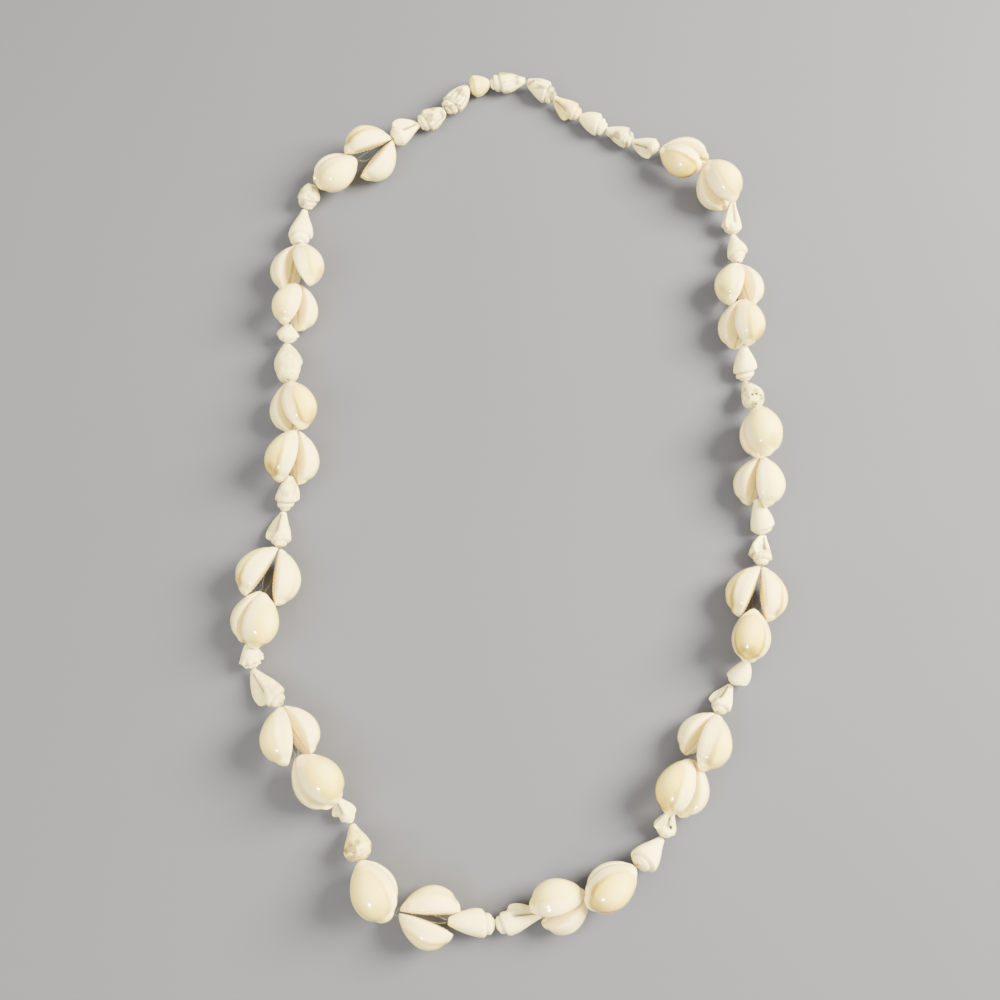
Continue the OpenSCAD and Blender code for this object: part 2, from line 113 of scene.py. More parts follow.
LEFT_SMALL = [
    Small(10.5, 169.5, 4.8, 0, 8.2, 0.1, 0.6, 0.2, 0.5, 0.64, 0, 0.2, 0.3, 0.1, 0.9, 0.1),
    Small(-4, 168.6, 4.6, -20, 8.2, 0, 0.72, -0.2, 0, 0.75, 0.1, 0.3, 0, 0.9, 0.1, 0),
    Small(-12.5, 167, 4.9, 0, 8.6, 0.3, 0.64, -0.3, 0.5, 0.68, 0, 0.3, 1, 0.15, 1, 0.1),
    Small(-21.5, 156, 4.9, 10, 8.6, 0.2, 0.64, -0.3, 0.4, 0.68, 0, 0.3, 0.7, 0.15, 0.9, 0.1),
    Small(-32, 150.5, 4.1, -170, 8.8, 0, 0.7, 0.6, 0.15, 0.7, 0.4, 1.1, 0, 0.2, 0.2, 0),
    Small(-72.2, 123.5, 7.4, 0, 8.4, 0.1, 0.52, -0.3, 0.2, 0.62, 0, 0.3, 0.3, 0.1, 0.8, 0),
    Small(-75.5, 114.5, 2.6, 0, 9.2, 0, 0.66, 0.6, 0.7, 0.7, 0, 0.2, 0.1, 0.1, 0.1, 0),
    Small(-78.3, 65.2, 8.3, 30, 8, 0.25, 0.55, 0.1, 0.3, 0.7, 0, 0.2, 0, 0.15, 0.1, 0),
    Small(-80, 60, 2.6, 20, 10.2, 0.15, 0.5, 0.2, 0.05, 0.68, 0, 0.2, 0.1, 0.3, 0.3, 0.1),
    Small(-75.3, 7.2, 8.1, 0, 9, 0.15, 0.58, 0, 0.7, 0.5, 0, 0.3, 0.3, 0.2, 0.5, 0.1),
    Small(-78.2, -5, 2.6, -130, 9.2, 0, 0.7, 0.6, 0.7, 0.56, 0.4, 1, 0, 0.15, 0.2, 0),
    Small(-87.3, -52.5, 7.2, -40, 8.4, 0.9, 0.6, 0, 0.6, 0.6, 0, 0.2, 0.1, 0.2, 0.2, 0),
    Small(-86.5, -61.3, 2.8, -130, 10, 0.1, 0.66, 0.4, 0.7, 0.56, 0.42, 1, 0, 0.2, 0.4, 0),
    Small(-54.5, -104.5, 8, -130, 8.4, 0, 0.56, 0.6, 0.8, 0.42, 0.1, 1, 0, 0.1, 0.2, 0),
    Small(-50, -112.8, 2.4, 0, 9.2, 0.2, 0.72, 0.5, 0, 0.86, 0, 0.2, 0, 0.8, 0.9, 0.5),
    Small(-17.2, -143.4, 5.7, 0, 9.4, 0.05, 0.66, -0.1, 0.75, 0.66, 0, 0.2, 0, 0.1, 0.1, 0),
]

# Where the last shells of both halves meet, and the middle of the loop, which is the frame's origin
MEETING_X = -1.5
MEETING_Y = -145.0
MEETING_HIGH = 3.9
MIDDLE_X = 3.788
MIDDLE_Y = 10.46

# Beads of each half: the neck run, then repeats of two pairs and two small shells, one less in the last
NECK_SHELLS = 5
PAIRS = 12
BEADS = 28
REPEAT = 4
REPEAT_PAIRS = 2

# Gaps between the tips of a pair and between small shells, and the room for the thread beside a pair
TIP_GAP = 0.3
SHELL_GAP = 0.2
THREAD_ROOM = 1.1
# Radii of a small shell's open tip and of its cut apex
TIP_RADIUS = 1.19
APEX_RADIUS = 1.3
# A strand: its radius, its distance from the middle of a small shell's bore and of a pair, how much farther
# an open pair leads it out, and how far it stands out of a small shell beside a pair
STRAND_RADIUS = 0.055
STRAND_OFFSET = 0.42
STRAND_APART = 0.6
STRAND_ASIDE = 0.12
STRAND_OUT = 0.35
# Its way through a cowrie: height over the base at the tip, the place and height where it leaves the bore,
# how far along the shell it is led out, and how far before the next bead at least. The two places along
# the shell are shares of its length
BORE_HIGH = 1.0
BORE_OUT = 0.27
BORE_OUT_HIGH = 0.6
LED_OUT = 0.72
LED_OUT_BEFORE = 3.0

# Form of a ring cowrie, as shares of its length

COWRIE_SEGMENTS = 64
COWRIE_ROWS = 88
COWRIE_KINDS = 4
HALF_WIDTH = 0.35
DOME_HEIGHT = 0.41
BASE_BULGE = 0.06
# Each kind is a little narrower and flatter than the full size, and fuller on one side
WIDTH_RANGE = (0.96, 1.0)
DOME_RANGE = (0.97, 1.0)
SKEW = 0.03
# How the outline fills out from the tip to the fullest place and rounds off at the wide end
FULL_SHIFT = 1.18
FULL_ROUND = 0.52
# Just before each end the shell draws in, so that the end stands out as a blunt beak
TIP_PINCH = 0.08
TIP_PINCH_AT = 0.075
END_PINCH = 0.15
END_PINCH_AT = 0.925
PINCH_LENGTH = 0.045
BEAK = 0.025
TIP_BEAK_AT = 0.02
TIP_BEAK_LENGTH = 0.05
END_BEAK_AT = 0.985
END_BEAK_LENGTH = 0.04
BEAK_WIDTH = 0.55
BEAK_ON_BACK = 0.35
BEAK_ON_BASE = -0.2
# Low step round the back, at this sine of the angle round the shell
RIM_STEP = 0.01
RIM_AT = 0.34
RIM_WIDTH = 0.12
RIM_DROP = 0.4
# Low nub on the back near the wide end
NUB = 0.012
NUB_AT = 0.93
NUB_LENGTH = 0.035
NUB_WIDTH = 0.3
# Mouth: points crowd toward it by this power, and it and its teeth fade in and out between these places
MOUTH_CROWD = 1.4
MOUTH_DEPTH = 0.1
MOUTH_HALF_WIDTH = 0.034
MOUTH_CURVE = 0.022
MOUTH_FROM = (0.0, 0.06)
MOUTH_TO = (1.0, 0.95)
TEETH = 15
TEETH_FROM = (0.1, 0.2)
TEETH_TO = (0.95, 0.86)
TOOTH_HEIGHT = 0.011
TOOTH_REACH = 0.13
TOOTH_IN_MOUTH = 0.35
TOOTH_SUNK = 0.6
# Slow lumps of the back
LUMP = 0.006
LUMPS_ALONG = 3.2
LUMPS_ACROSS = 4
LUMP_SHIFT = 7.3

# Form of a small spiral shell, in shares of its length and radius where no comment gives millimetres

SPIRAL_SEGMENTS = 64
SPIRAL_ROWS = 84
RADIUS_SHARE = 0.53
# Rows, radius and depth in millimetres of the ends of the bore, and the least radius of the shell
BORE_ROWS = 3
BORE_RADIUS = 0.56
BORE_DEPTH = 1.6
THINNEST = 0.95
# Growth of the shell in one whorl, the point that all whorls shrink to, and how far the seam is from the
# shoulder
WHORL_GROWTH = 1.4
SHRINK_TO = 1.36
SEAM_GAP = 0.085
# Depth of a deep seam and the least share of it, the power of its round sides, and the width and
# strength of the grey and painted shade along it
SEAM_DEPTH = 0.2
LEAST_SEAM = 0.1
SEAM_ROUND = 1.3
SEAM_WIDTH = 0.12
SEAM_SHADE = 1.5
# Where the width near the apex is taken, and how far the cut apex is rounded and from where
NECK_AT = 0.9
APEX_FROM = 0.9
APEX_ROUND = 0.5
# The lip stands off the body just past the mouth, and the mouth is a valley before it
LIP_ANGLE = math.radians(-35)
LIP_AHEAD = 0.14
LIP_WIDTH = 0.28
LIP_PAST_SHOULDER = 0.12
LIP_LEAN = 0.8
LIP_ROUND = 0.7
VALLEY_BACK = 0.95
VALLEY_WIDTH = 0.5
VALLEY_DEPTH = 0.6
VALLEY_FROM = 0.12
VALLEY_FADES = 0.14
VALLEY_PAST_SHOULDER = 0.06
# Depth of a worn hole, and how many radians round the shell count as much as its whole length
HOLE_DEPTH = 0.16
HOLE_ROUND = 3.0
# Ribs run along the body and lean a little round it
RIBS_ROUND = 13
RIB_HEIGHT = 0.05
RIB_LEAN = 4
RIBS_FROM = (0.1, 0.5)
# Knobs sit round the shoulder, on the spire's side and on the body's, which is measured along the shell.
# Their height is in millimetres, for a shell whose table value is 1
KNOBS_ROUND = 9
KNOB_HEIGHT = 1.1
KNOB_SUNK = 0.35
KNOB_ON_SPIRE = 0.2
KNOB_ON_BODY = 0.16
BODY_STRETCH = 0.9
# How strongly the hollows between the knobs take the grooves' grey and painted shade
KNOB_SHADE = 3
# Slow bumps, their height in millimetres
BUMP = 0.08
BUMPS_ALONG = 5
BUMPS_ROUND = 1.6
# What the finish reads: the painted shade inside the bore, the pits, painted dark as shade, of a fully
# pitted shell, and how far a shell's seed moves its wear pattern
BORE_SHADE = 0.75
PIT_SHARE = 0.5
WEAR_SHIFT = 9

# Faces that meet at more than these degrees keep a sharp edge
SHARP_ANGLE = 62


def is_pair(i):
    return NECK_SHELLS <= i < BEADS and (i - NECK_SHELLS) % REPEAT < REPEAT_PAIRS


def row(side, i):
    """The table's row of a bead, counted from the neck down."""
    repeats, place = divmod(i - NECK_SHELLS, REPEAT)
    if is_pair(i):
        return (RIGHT_PAIRS if side > 0 else LEFT_PAIRS)[REPEAT_PAIRS * repeats + place]
    shells = REPEAT - REPEAT_PAIRS
    index = i if i < NECK_SHELLS else NECK_SHELLS + shells * repeats + place - REPEAT_PAIRS
    return (RIGHT_SMALL if side > 0 else LEFT_SMALL)[index]


def tip_place(side, i):
    """Where the tip of a bead is in the table, or the meeting place after the last one."""
    if i == BEADS:
        return Vector((MEETING_X, MEETING_Y))
    return Vector((row(side, i).x, row(side, i).y))


def heading(side, i):
    """Angle on the ground of the string through a bead."""
    step = tip_place(side, i + 1) - tip_place(side, i)
    return math.atan2(step.y, step.x) + (math.radians(row(side, i).lean) if is_pair(i) else 0)


def room(side, i):
    """Length on the ground from the tip of a bead to that of the next one."""
    return (tip_place(side, i + 1) - tip_place(side, i)).length


def turn(angle, axis):
    return Matrix.Rotation(angle, 4, axis)


def set_down(side, i):
    """Moves a bead made along +X, in millimetres, to where it lies on the ground."""
    at = tip_place(side, i) - Vector((MIDDLE_X, MIDDLE_Y))
    place = Matrix.Translation((at.x, at.y, height(side, i)))
    roll = math.radians(row(side, i).roll)
    return place @ turn(heading(side, i), "Z") @ turn(-rise(side, i), "Y") @ turn(roll, "X")


# Ring cowrie


def smooth(low, high, value):
    """Goes smoothly from 0 at low to 1 at high."""
    t = min(1.0, max(0.0, (value - low) / (high - low)))
    return t * t * (3 - 2 * t)


def bell(value, width):
    """1 where the value is 0, falling off to both sides."""
    return math.exp(-((value / width) ** 2))


def fullness(t):
    """Share of the full width at a place along a cowrie."""
    full = max(0.0, math.sin(math.pi * t**FULL_SHIFT)) ** FULL_ROUND
    end_pinch = END_PINCH * bell(t - END_PINCH_AT, PINCH_LENGTH)
    tip_pinch = TIP_PINCH * bell(t - TIP_PINCH_AT, PINCH_LENGTH)
    return full * (1 - end_pinch - tip_pinch)


def section_angle(unit):
    """Angle of a point round a cowrie: -90 degrees is the mouth, toward which the points crowd."""
    around = (math.degrees(math.atan2(unit.z, unit.y)) + 270) % 360 - 180
    share = around / 180
    return math.radians(-90 + 180 * math.copysign(abs(share) ** MOUTH_CROWD, share))


def back_point(t, y, side, up, full, form):
    """Breadth and height of a point on the domed back."""
    margin = BASE_BULGE * (1 + full)
    step = RIM_STEP * bell(up - RIM_AT, RIM_WIDTH) * full
    z = margin + (BASE_BULGE + DOME_HEIGHT * form.dome * full - margin) * up
    z += NUB * bell(t - NUB_AT, NUB_LENGTH) * bell(side, NUB_WIDTH) - RIM_DROP * step
    return y - step * side, z


def base_height(t, y, up, full):
    """Height of a point on the base, with the mouth and its teeth."""
    line = y - MOUTH_CURVE * math.sin(2 * math.pi * t)
    slit = math.exp(-((line / MOUTH_HALF_WIDTH) ** 4)) * smooth(*MOUTH_FROM, t) * smooth(*MOUTH_TO, t)
    ridge = max(0.0, math.cos(2 * math.pi * TEETH * t)) * smooth(*TEETH_FROM, t) * smooth(*TEETH_TO, t)
    reach = smooth(TOOTH_REACH, MOUTH_HALF_WIDTH, abs(line)) * (1 - TOOTH_SUNK * slit)
    z = BASE_BULGE * (1 + full) - 2 * BASE_BULGE * full * math.sqrt(-up)
    z += MOUTH_DEPTH * full * slit * (1 - TOOTH_IN_MOUTH * ridge) - TOOTH_HEIGHT * ridge * reach
    return z


def cowrie_point(unit, form):
    """Moves a point of the unit sphere, whose poles lie along X, onto a cowrie of length 1."""
    t = min(1.0, max(0.0, (unit.x + 1) / 2))
    full = fullness(t)
    angle = section_angle(unit)
    side, up = math.cos(angle), math.sin(angle)
    y = HALF_WIDTH * form.width * full * side * (1 + SKEW * form.skew * side)
    if up >= 0:
        y, z = back_point(t, y, side, up, full, form)
    else:
        z = base_height(t, y, up, full)
    ends = bell(t - TIP_BEAK_AT, TIP_BEAK_LENGTH) + bell(t - END_BEAK_AT, END_BEAK_LENGTH)
    beak = BEAK * ends * bell(side, BEAK_WIDTH)
    z += beak * (BEAK_ON_BACK if up >= 0 else BEAK_ON_BASE) * full
    lump_at = Vector((LUMPS_ALONG * t, LUMPS_ACROSS * y, LUMPS_ACROSS * z)) + Vector((form.shift, 0, 0))
    return Vector((t, y, z + LUMP * noise.noise(lump_at) * max(0.0, up)))


CowrieForm = namedtuple("CowrieForm", "width dome skew shift")
Cowrie = namedtuple("Cowrie", "mesh points")


def make_cowrie(seed):
    """One cowrie of length 1 along +X from its tip, its base down."""
    chance = random.Random(seed)
    form = CowrieForm(
        width=chance.uniform(*WIDTH_RANGE),
        dome=chance.uniform(*DOME_RANGE),
        skew=chance.uniform(-1, 1),
        shift=seed * LUMP_SHIFT,
    )
    bm = bmesh.new()
    bmesh.ops.create_uvsphere(bm, u_segments=COWRIE_SEGMENTS, v_segments=COWRIE_ROWS, radius=1)
    bmesh.ops.rotate(bm, verts=bm.verts, cent=(0, 0, 0), matrix=Matrix.Rotation(math.radians(90), 3, "Y"))
    for vert in bm.verts:
        vert.co = cowrie_point(vert.co, form)
    bmesh.ops.recalc_face_normals(bm, faces=bm.faces)
    mesh = bpy.data.meshes.new("cowrie_form")
    bm.to_mesh(mesh)
    bm.free()
    points = np.empty(3 * len(mesh.vertices))
    mesh.vertices.foreach_get("co", points)
    return Cowrie(mesh, points.reshape(-1, 3))


COWRIES = [make_cowrie(1 + k) for k in range(COWRIE_KINDS)]


def cowrie_kind(side, i, half):
    """The kinds come in turn, and the two cowries of a pair differ."""
    return COWRIES[(2 * i + (side > 0) + 3 * (half > 0)) % COWRIE_KINDS]


def lowest(points, matrix):
    m = np.array(matrix)
    return (points @ m[2, :3] + m[2, 3]).min()


def cowrie_in_pair(side, i, half):
    """Opens a cowrie out from the middle plane of its pair and sinks it until the tips are close."""
    r = row(side, i)
    kind = cowrie_kind(side, i, half)
    size = Matrix.Scale(r.long_a if half > 0 else r.long_b, 4)
    opened = turn(-math.radians(r.open), "Y") @ size
    sink = Matrix.Translation((0, 0, TIP_GAP / 2 - lowest(kind.points, opened)))
    return turn(0 if half > 0 else math.pi, "X") @ sink @ opened


def resting_height(side, i):
    """Height of a pair's tips when its lowest point touches the ground."""
    r = row(side, i)
    lying = turn(-math.radians(r.rise), "Y") @ turn(math.radians(r.roll), "X")
    halves = (1, -1)
    return -min(lowest(cowrie_kind(side, i, h).points, lying @ cowrie_in_pair(side, i, h)) for h in halves)


HEIGHTS = {
    (side, i): resting_height(side, i) if is_pair(i) else row(side, i).high
    for side in (1, -1)
    for i in range(BEADS)
}


def height(side, i):
    """Height of a bead's tip over the ground."""
    return MEETING_HIGH if i == BEADS else HEIGHTS[side, i]


def rise(side, i):
    """Angle at which the string goes up through a bead."""
    if is_pair(i):
        return math.radians(row(side, i).rise)
    return math.atan2(height(side, i + 1) - height(side, i), room(side, i))


def way(side, i):
    """Direction of the string through a bead, going on round into the other half."""
    if i < 0:
        return -way(-side, 0)
    if i == BEADS:
        return -way(-side, BEADS - 1)
    return (turn(heading(side, i), "Z") @ turn(-rise(side, i), "Y")).to_3x3() @ Vector((1, 0, 0))


def joint_room(side, i):
    """Room before a bead that keeps it clear of the one above it, more where the string bends."""
    bend = math.acos(min(1.0, way(side, i - 1).dot(way(side, i))))
    gap = THREAD_ROOM if is_pair(i) else SHELL_GAP / 2
    return gap + APEX_RADIUS * math.tan(bend / 2)


def small_length(side, i):
    return room(side, i) / math.cos(rise(side, i)) - joint_room(side, i) - joint_room(side, i + 1)


# Small spiral shell


def wave(angle):
    return 0.5 + 0.5 * math.cos(angle)


def past(angle, start):
    """How far an angle is past another one, within half a turn."""
    return (angle - start + math.pi) % (2 * math.pi) - math.pi


def whorl_profile(f, form):
    """Share of the shell's full size across one whorl, from the seam below it to the seam above it."""
    return 1 - form.seam_depth * (1 - math.sin(math.pi * f**form.turnover_power)) ** SEAM_ROUND


def on_spire(x, f, form):
    """Radius, groove, nearness of the shoulder and share of ribs, at f of the way across a whorl."""
    radius = form.lip_radius * ((SHRINK_TO - x) / form.left) ** form.taper * whorl_profile(f, form)
    groove = form.ring_shade * bell(min(f, 1 - f), SEAM_WIDTH)
    return radius, groove, bell(f - form.turnover, KNOB_ON_SPIRE), 0.0


def on_body(x, phase, form):
    """The same values on the last whorl, from the open tip to the shoulder."""
    own = form.lip_radius * WHORL_GROWTH ** (-form.taper * phase)
    share = min(1.0, max(0.0, x / (SHRINK_TO - form.left * WHORL_GROWTH**-phase)))
    bend_in = max(0.0, form.ease)
    bulge = math.sin(math.pi / 2 * share) ** (1 + min(0.0, form.ease))
    swell = (1 - bend_in) * bulge + bend_in * smooth(0, 1, share)
    radius = TIP_RADIUS + (own - TIP_RADIUS) * swell
    near_shoulder = bell((share - 1) * BODY_STRETCH, KNOB_ON_BODY)
    return radius, 0.0, near_shoulder, smooth(*RIBS_FROM, share)


def mouth_valley(x, past_lip, form):
    """How deep a point is in the valley of the mouth, from 0 to 1."""
    end = form.shoulder + VALLEY_PAST_SHOULDER
    along = smooth(0.0, VALLEY_FROM, x) * smooth(end, form.shoulder - VALLEY_FADES, x)
    return form.valley * bell(past_lip + VALLEY_BACK, VALLEY_WIDTH) * along


def lip_height(x, past_lip, form):
    """How far the lip stands off the body, in millimetres."""
    along = min(1.0, x / (form.shoulder + LIP_PAST_SHOULDER))
    stands = math.sin(math.pi * along**LIP_LEAN) ** LIP_ROUND
    return form.wing * form.lip_radius * bell(past_lip - LIP_AHEAD, LIP_WIDTH) * stands


def worn_hole(x, angle, form):
    """How deep a point is in a worn hole, from 0 to 1."""
    shares = [
        bell(math.hypot(x - hole_x, past(angle, math.radians(degrees)) / HOLE_ROUND), size)
        for hole_x, degrees, size in form.holes
    ]
    return max(shares, default=0.0)


def spiral_surface(x, angle, form):
    """Radius in millimetres at a place along the axis and an angle, and its groove, mouth and hole shares."""
    phase = (angle - LIP_ANGLE) % (2 * math.pi) / (2 * math.pi)
    whorls = math.log((form.left - SEAM_GAP) / (SHRINK_TO - x)) / math.log(WHORL_GROWTH) - phase
    f = whorls - math.floor(whorls)
    if whorls >= 0 or f >= form.turnover and whorls >= -1:
        radius, groove, near_shoulder, ribbed = on_spire(x, f, form)
    else:
        radius, groove, near_shoulder, ribbed = on_body(x, phase, form)
    knob = wave(KNOBS_ROUND * 2 * math.pi * phase + form.seed)
    rib = wave(RIBS_ROUND * 2 * math.pi * phase + form.seed + RIB_LEAN * x)
    radius += form.knobs * KNOB_HEIGHT * near_shoulder * (knob - KNOB_SUNK) * radius / form.lip_radius
    radius *= 1 + RIB_HEIGHT * form.ribs * ribbed * (rib - 0.5)
    # The hollows between knobs and ribs join the seams in the groove share, which gets grey and painted shade
    beside_knobs = near_shoulder * (1 - knob) * min(1.0, form.knobs * KNOB_SHADE)
    groove = max(groove, beside_knobs, form.ribs * ribbed * (1 - rib) ** 2)
    past_lip = past(angle, LIP_ANGLE)
    mouth = mouth_valley(x, past_lip, form)
    radius *= 1 - VALLEY_DEPTH * mouth
    radius += lip_height(x, past_lip, form)
    bump_at = Vector((BUMPS_ALONG * x, BUMPS_ROUND * math.cos(angle), BUMPS_ROUND * math.sin(angle)))
    radius += BUMP * noise.noise(bump_at + form.shift)
    hole = worn_hole(x, angle, form)
    radius *= 1 - HOLE_DEPTH * hole
    radius *= math.sqrt(1 - APEX_ROUND * smooth(APEX_FROM, 1.0, x) ** 2)
    return max(THINNEST, radius), groove, mouth, hole


def spiral_row(j):
    """Place along the axis of the j-th row of a shell, and how far the row is in the tip's or apex's bore."""
    x = min(1.0, max(0.0, (j - BORE_ROWS) / (SPIRAL_ROWS - 2 * BORE_ROWS)))
    at_tip = max(0, BORE_ROWS - j) / BORE_ROWS
    at_apex = max(0, j - SPIRAL_ROWS + BORE_ROWS) / BORE_ROWS
    return x, at_tip, at_apex


SpiralForm = namedtuple(
    "SpiralForm",
    "lip_radius shoulder left turnover turnover_power taper ease seam_depth ring_shade"
    " wing valley ribs knobs holes seed shift",
)
Finished = namedtuple("Finished", "mesh points marks kinds")


def read_form(side, i):
    """What the surface of a small shell is worked out from."""
    r = row(side, i)
    chance = random.Random(100 * i + (side > 0))
    left = SHRINK_TO - r.shoulder
    turnover = 1 + math.log((left - SEAM_GAP) / left) / math.log(WHORL_GROWTH)
    return SpiralForm(
        lip_radius=r.wide * RADIUS_SHARE,
        shoulder=r.shoulder,
        left=left,
        turnover=turnover,
        turnover_power=math.log(0.5) / math.log(turnover),
        taper=math.log(r.neck) / math.log((SHRINK_TO - NECK_AT) / left),
        ease=r.ease,
        seam_depth=SEAM_DEPTH * (LEAST_SEAM + (1 - LEAST_SEAM) * r.step),
        ring_shade=min(1.0, LEAST_SEAM + SEAM_SHADE * r.step),
        wing=r.wing,
        valley=r.valley,
        holes=r.holes,
        ribs=r.ribs,
        knobs=r.knobs,
        seed=chance.uniform(0, 6),
        shift=Vector((chance.uniform(0, 50), 0, 0)),
    )


def make_small_shell(side, i):
    """One small shell in millimetres, along +X from its open tip to its cut apex."""
    r = row(side, i)
    form = read_form(side, i)
    long = small_length(side, i)
    bm = bmesh.new()
    bmesh.ops.create_cone(bm, cap_ends=True, segments=SPIRAL_SEGMENTS, radius1=1, radius2=1, depth=1)
    sides = [e for e in bm.edges if abs(e.verts[0].co.z - e.verts[1].co.z) > 0.5]
    bmesh.ops.subdivide_edges(bm, edges=sides, cuts=SPIRAL_ROWS - 1)
    points, marks, kinds = [], [], []
    for vert in bm.verts:
        angle = math.atan2(vert.co.y, vert.co.x)
        x, at_tip, at_apex = spiral_row(round((vert.co.z + 0.5) * SPIRAL_ROWS))
        radius, groove, mouth, hole = spiral_surface(x, angle, form)
        place = x * long
        in_bore = max(at_tip, at_apex)
        if in_bore > 0:
            radius = BORE_RADIUS
            deep = BORE_DEPTH * max(0.0, in_bore - 1 / BORE_ROWS)
            place = deep if at_tip > 0 else long - deep
        vert.co = (place, radius * math.cos(angle), radius * math.sin(angle))
        shade = max(mouth, BORE_SHADE if in_bore > 1 / BORE_ROWS else 0.0)
        points.append((place / long, vert.co.y / long, vert.co.z / long))
        marks.append((groove, r.grey, r.cream))
        kinds.append((form.seed * WEAR_SHIFT, shade, max(r.pits * PIT_SHARE, hole)))
    bmesh.ops.recalc_face_normals(bm, faces=bm.faces)
    mesh = bpy.data.meshes.new("spiral_form")
    bm.to_mesh(mesh)
    bm.free()
    return Finished(mesh, np.array(points), np.array(marks), np.array(kinds))


# Pieces of several shells


class Strung:
    """Shells that make up one piece, with what their finish reads at each point.

    A cowrie's marks are the strength of its ring, yellow and spot, and a small shell's are its groove, which
    takes grey and painted shade, its grey and its cream. The kind is a shift of the wear pattern, then for a
    cowrie its warmth and for a small shell the painted shade of its mouth and bore, and its pits and holes.
    """

    def __init__(self):
        self.bm = bmesh.new()
        self.points, self.marks, self.kinds = [], [], []

    def add(self, mesh, matrix, points, marks, kinds):
        first = len(self.bm.verts)
        self.bm.from_mesh(mesh)
        self.bm.verts.ensure_lookup_table()
        new = self.bm.verts[first:]
        bmesh.ops.transform(self.bm, matrix=Matrix.Scale(MM, 4) @ matrix, verts=new)
        self.points.append(points)
        self.marks.append(marks)
        self.kinds.append(kinds)

    def make_piece(self, name, node, finish):
        mesh = bpy.data.meshes.new(name)
        self.bm.to_mesh(mesh)
        self.bm.free()
        stored = {"shell_point": self.points, "shell_marks": self.marks, "shell_kind": self.kinds}
        for title, parts in stored.items():
            values = mesh.attributes.new(title, "FLOAT_VECTOR", "POINT")
            values.data.foreach_set("vector", np.concatenate(parts).astype(np.float32).ravel())
        mesh.polygons.foreach_set("use_smooth", [True] * len(mesh.polygons))
        mesh.set_sharp_from_angle(angle=math.radians(SHARP_ANGLE))
        mesh.materials.append(finish)
        piece = bpy.data.objects.new(name, mesh)
        bpy.context.scene.collection.objects.link(piece)
        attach(piece, BODY)
        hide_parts(node)


def side_name(side):
    return "right" if side > 0 else "left"


def wear_seed(side, i, half):
    """Which part of the wear pattern a cowrie shows."""
    return (7 * i + 3 * half + 40 * (side > 0)) % 97


def string_pair(side, k, finish):
    i = NECK_SHELLS + REPEAT * (k // REPEAT_PAIRS) + k % REPEAT_PAIRS
    r = row(side, i)
    strung = Strung()
    looks = ((1, r.ring_a, r.fill_a, r.spot_a), (-1, r.ring_b, r.fill_b, r.spot_b))
    for half, ring, fill, spot in looks:
        kind = cowrie_kind(side, i, half)
        count = len(kind.points)
        seed = wear_seed(side, i, half)
        strung.add(
            kind.mesh,
            set_down(side, i) @ cowrie_in_pair(side, i, half),
            kind.points,
            np.tile((ring, fill, spot), (count, 1)),
            np.tile((seed, 0.5 + 0.5 * math.sin(seed), 0.0), (count, 1)),
        )
    name = f"{side_name(side)}_{k + 1}"
    strung.make_piece(f"ring_cowries_{name}", f"cowrie_pair_{name}", finish)


def string_small(beads, name, finish):
    strung = Strung()
    for side, i in beads:
        shell = make_small_shell(side, i)
        start = Matrix.Translation((joint_room(side, i), 0, 0))
        strung.add(shell.mesh, set_down(side, i) @ start, shell.points, shell.marks, shell.kinds)
        bpy.data.meshes.remove(shell.mesh)
    strung.make_piece(name.replace("shells", "spirals"), name, finish)


# Thread


def strand_in_small(side, i, half):
    """Points of a strand at both ends of a small shell, measured from its tip."""
    near = joint_room(side, i) - (STRAND_OUT if is_pair(i - 1) else SHELL_GAP / 4)
    out = STRAND_OUT if is_pair(i + 1) else SHELL_GAP / 4
    far = joint_room(side, i) + small_length(side, i) + out
    apart = turn(heading(side, i), "Z") @ Vector((0, -half * STRAND_OFFSET, 0))
    return [x * way(side, i) + apart for x in (near, far)]


def strand_in_pair(side, i, half):
    """Points of a strand through one cowrie of a pair, and between the pair's wide ends."""
    r = row(side, i)
    long = r.long_a if half > 0 else r.long_b
    span = room(side, i)
    lying = turn(heading(side, i), "Z") @ turn(-rise(side, i), "Y") @ turn(math.radians(r.roll), "X")
    bore = lying @ cowrie_in_pair(side, i, half)
    at_tip = bore @ Vector((0, 0, BASE_BULGE + BORE_HIGH / long))
    leaves = bore @ Vector((BORE_OUT, 0, BORE_OUT_HIGH / long))
    aside = STRAND_APART + STRAND_ASIDE * long * math.sin(math.radians(r.open))
    led_out = lying @ Vector((min(LED_OUT * long, span - LED_OUT_BEFORE), 0, half * aside))
    straight = turn(heading(side, i) - math.radians(r.lean) / 2, "Z")
    next_bead = straight @ Vector((span, 0, span * math.tan(rise(side, i))))
    apart = lying.to_3x3() @ Vector((0, 0, half * STRAND_APART))
    return [at_tip, leaves, led_out, next_bead - THREAD_ROOM * way(side, i) + apart]


def strand_points(side, half):
    """Points of a strand along one half of the loop, from the neck down, in millimetres."""
    points = []
    for i in range(BEADS):
        base = Vector((*(tip_place(side, i) - Vector((MIDDLE_X, MIDDLE_Y))), height(side, i)))
        strand = strand_in_pair if is_pair(i) else strand_in_small
        points += [base + p for p in strand(side, i, half)]
    return points


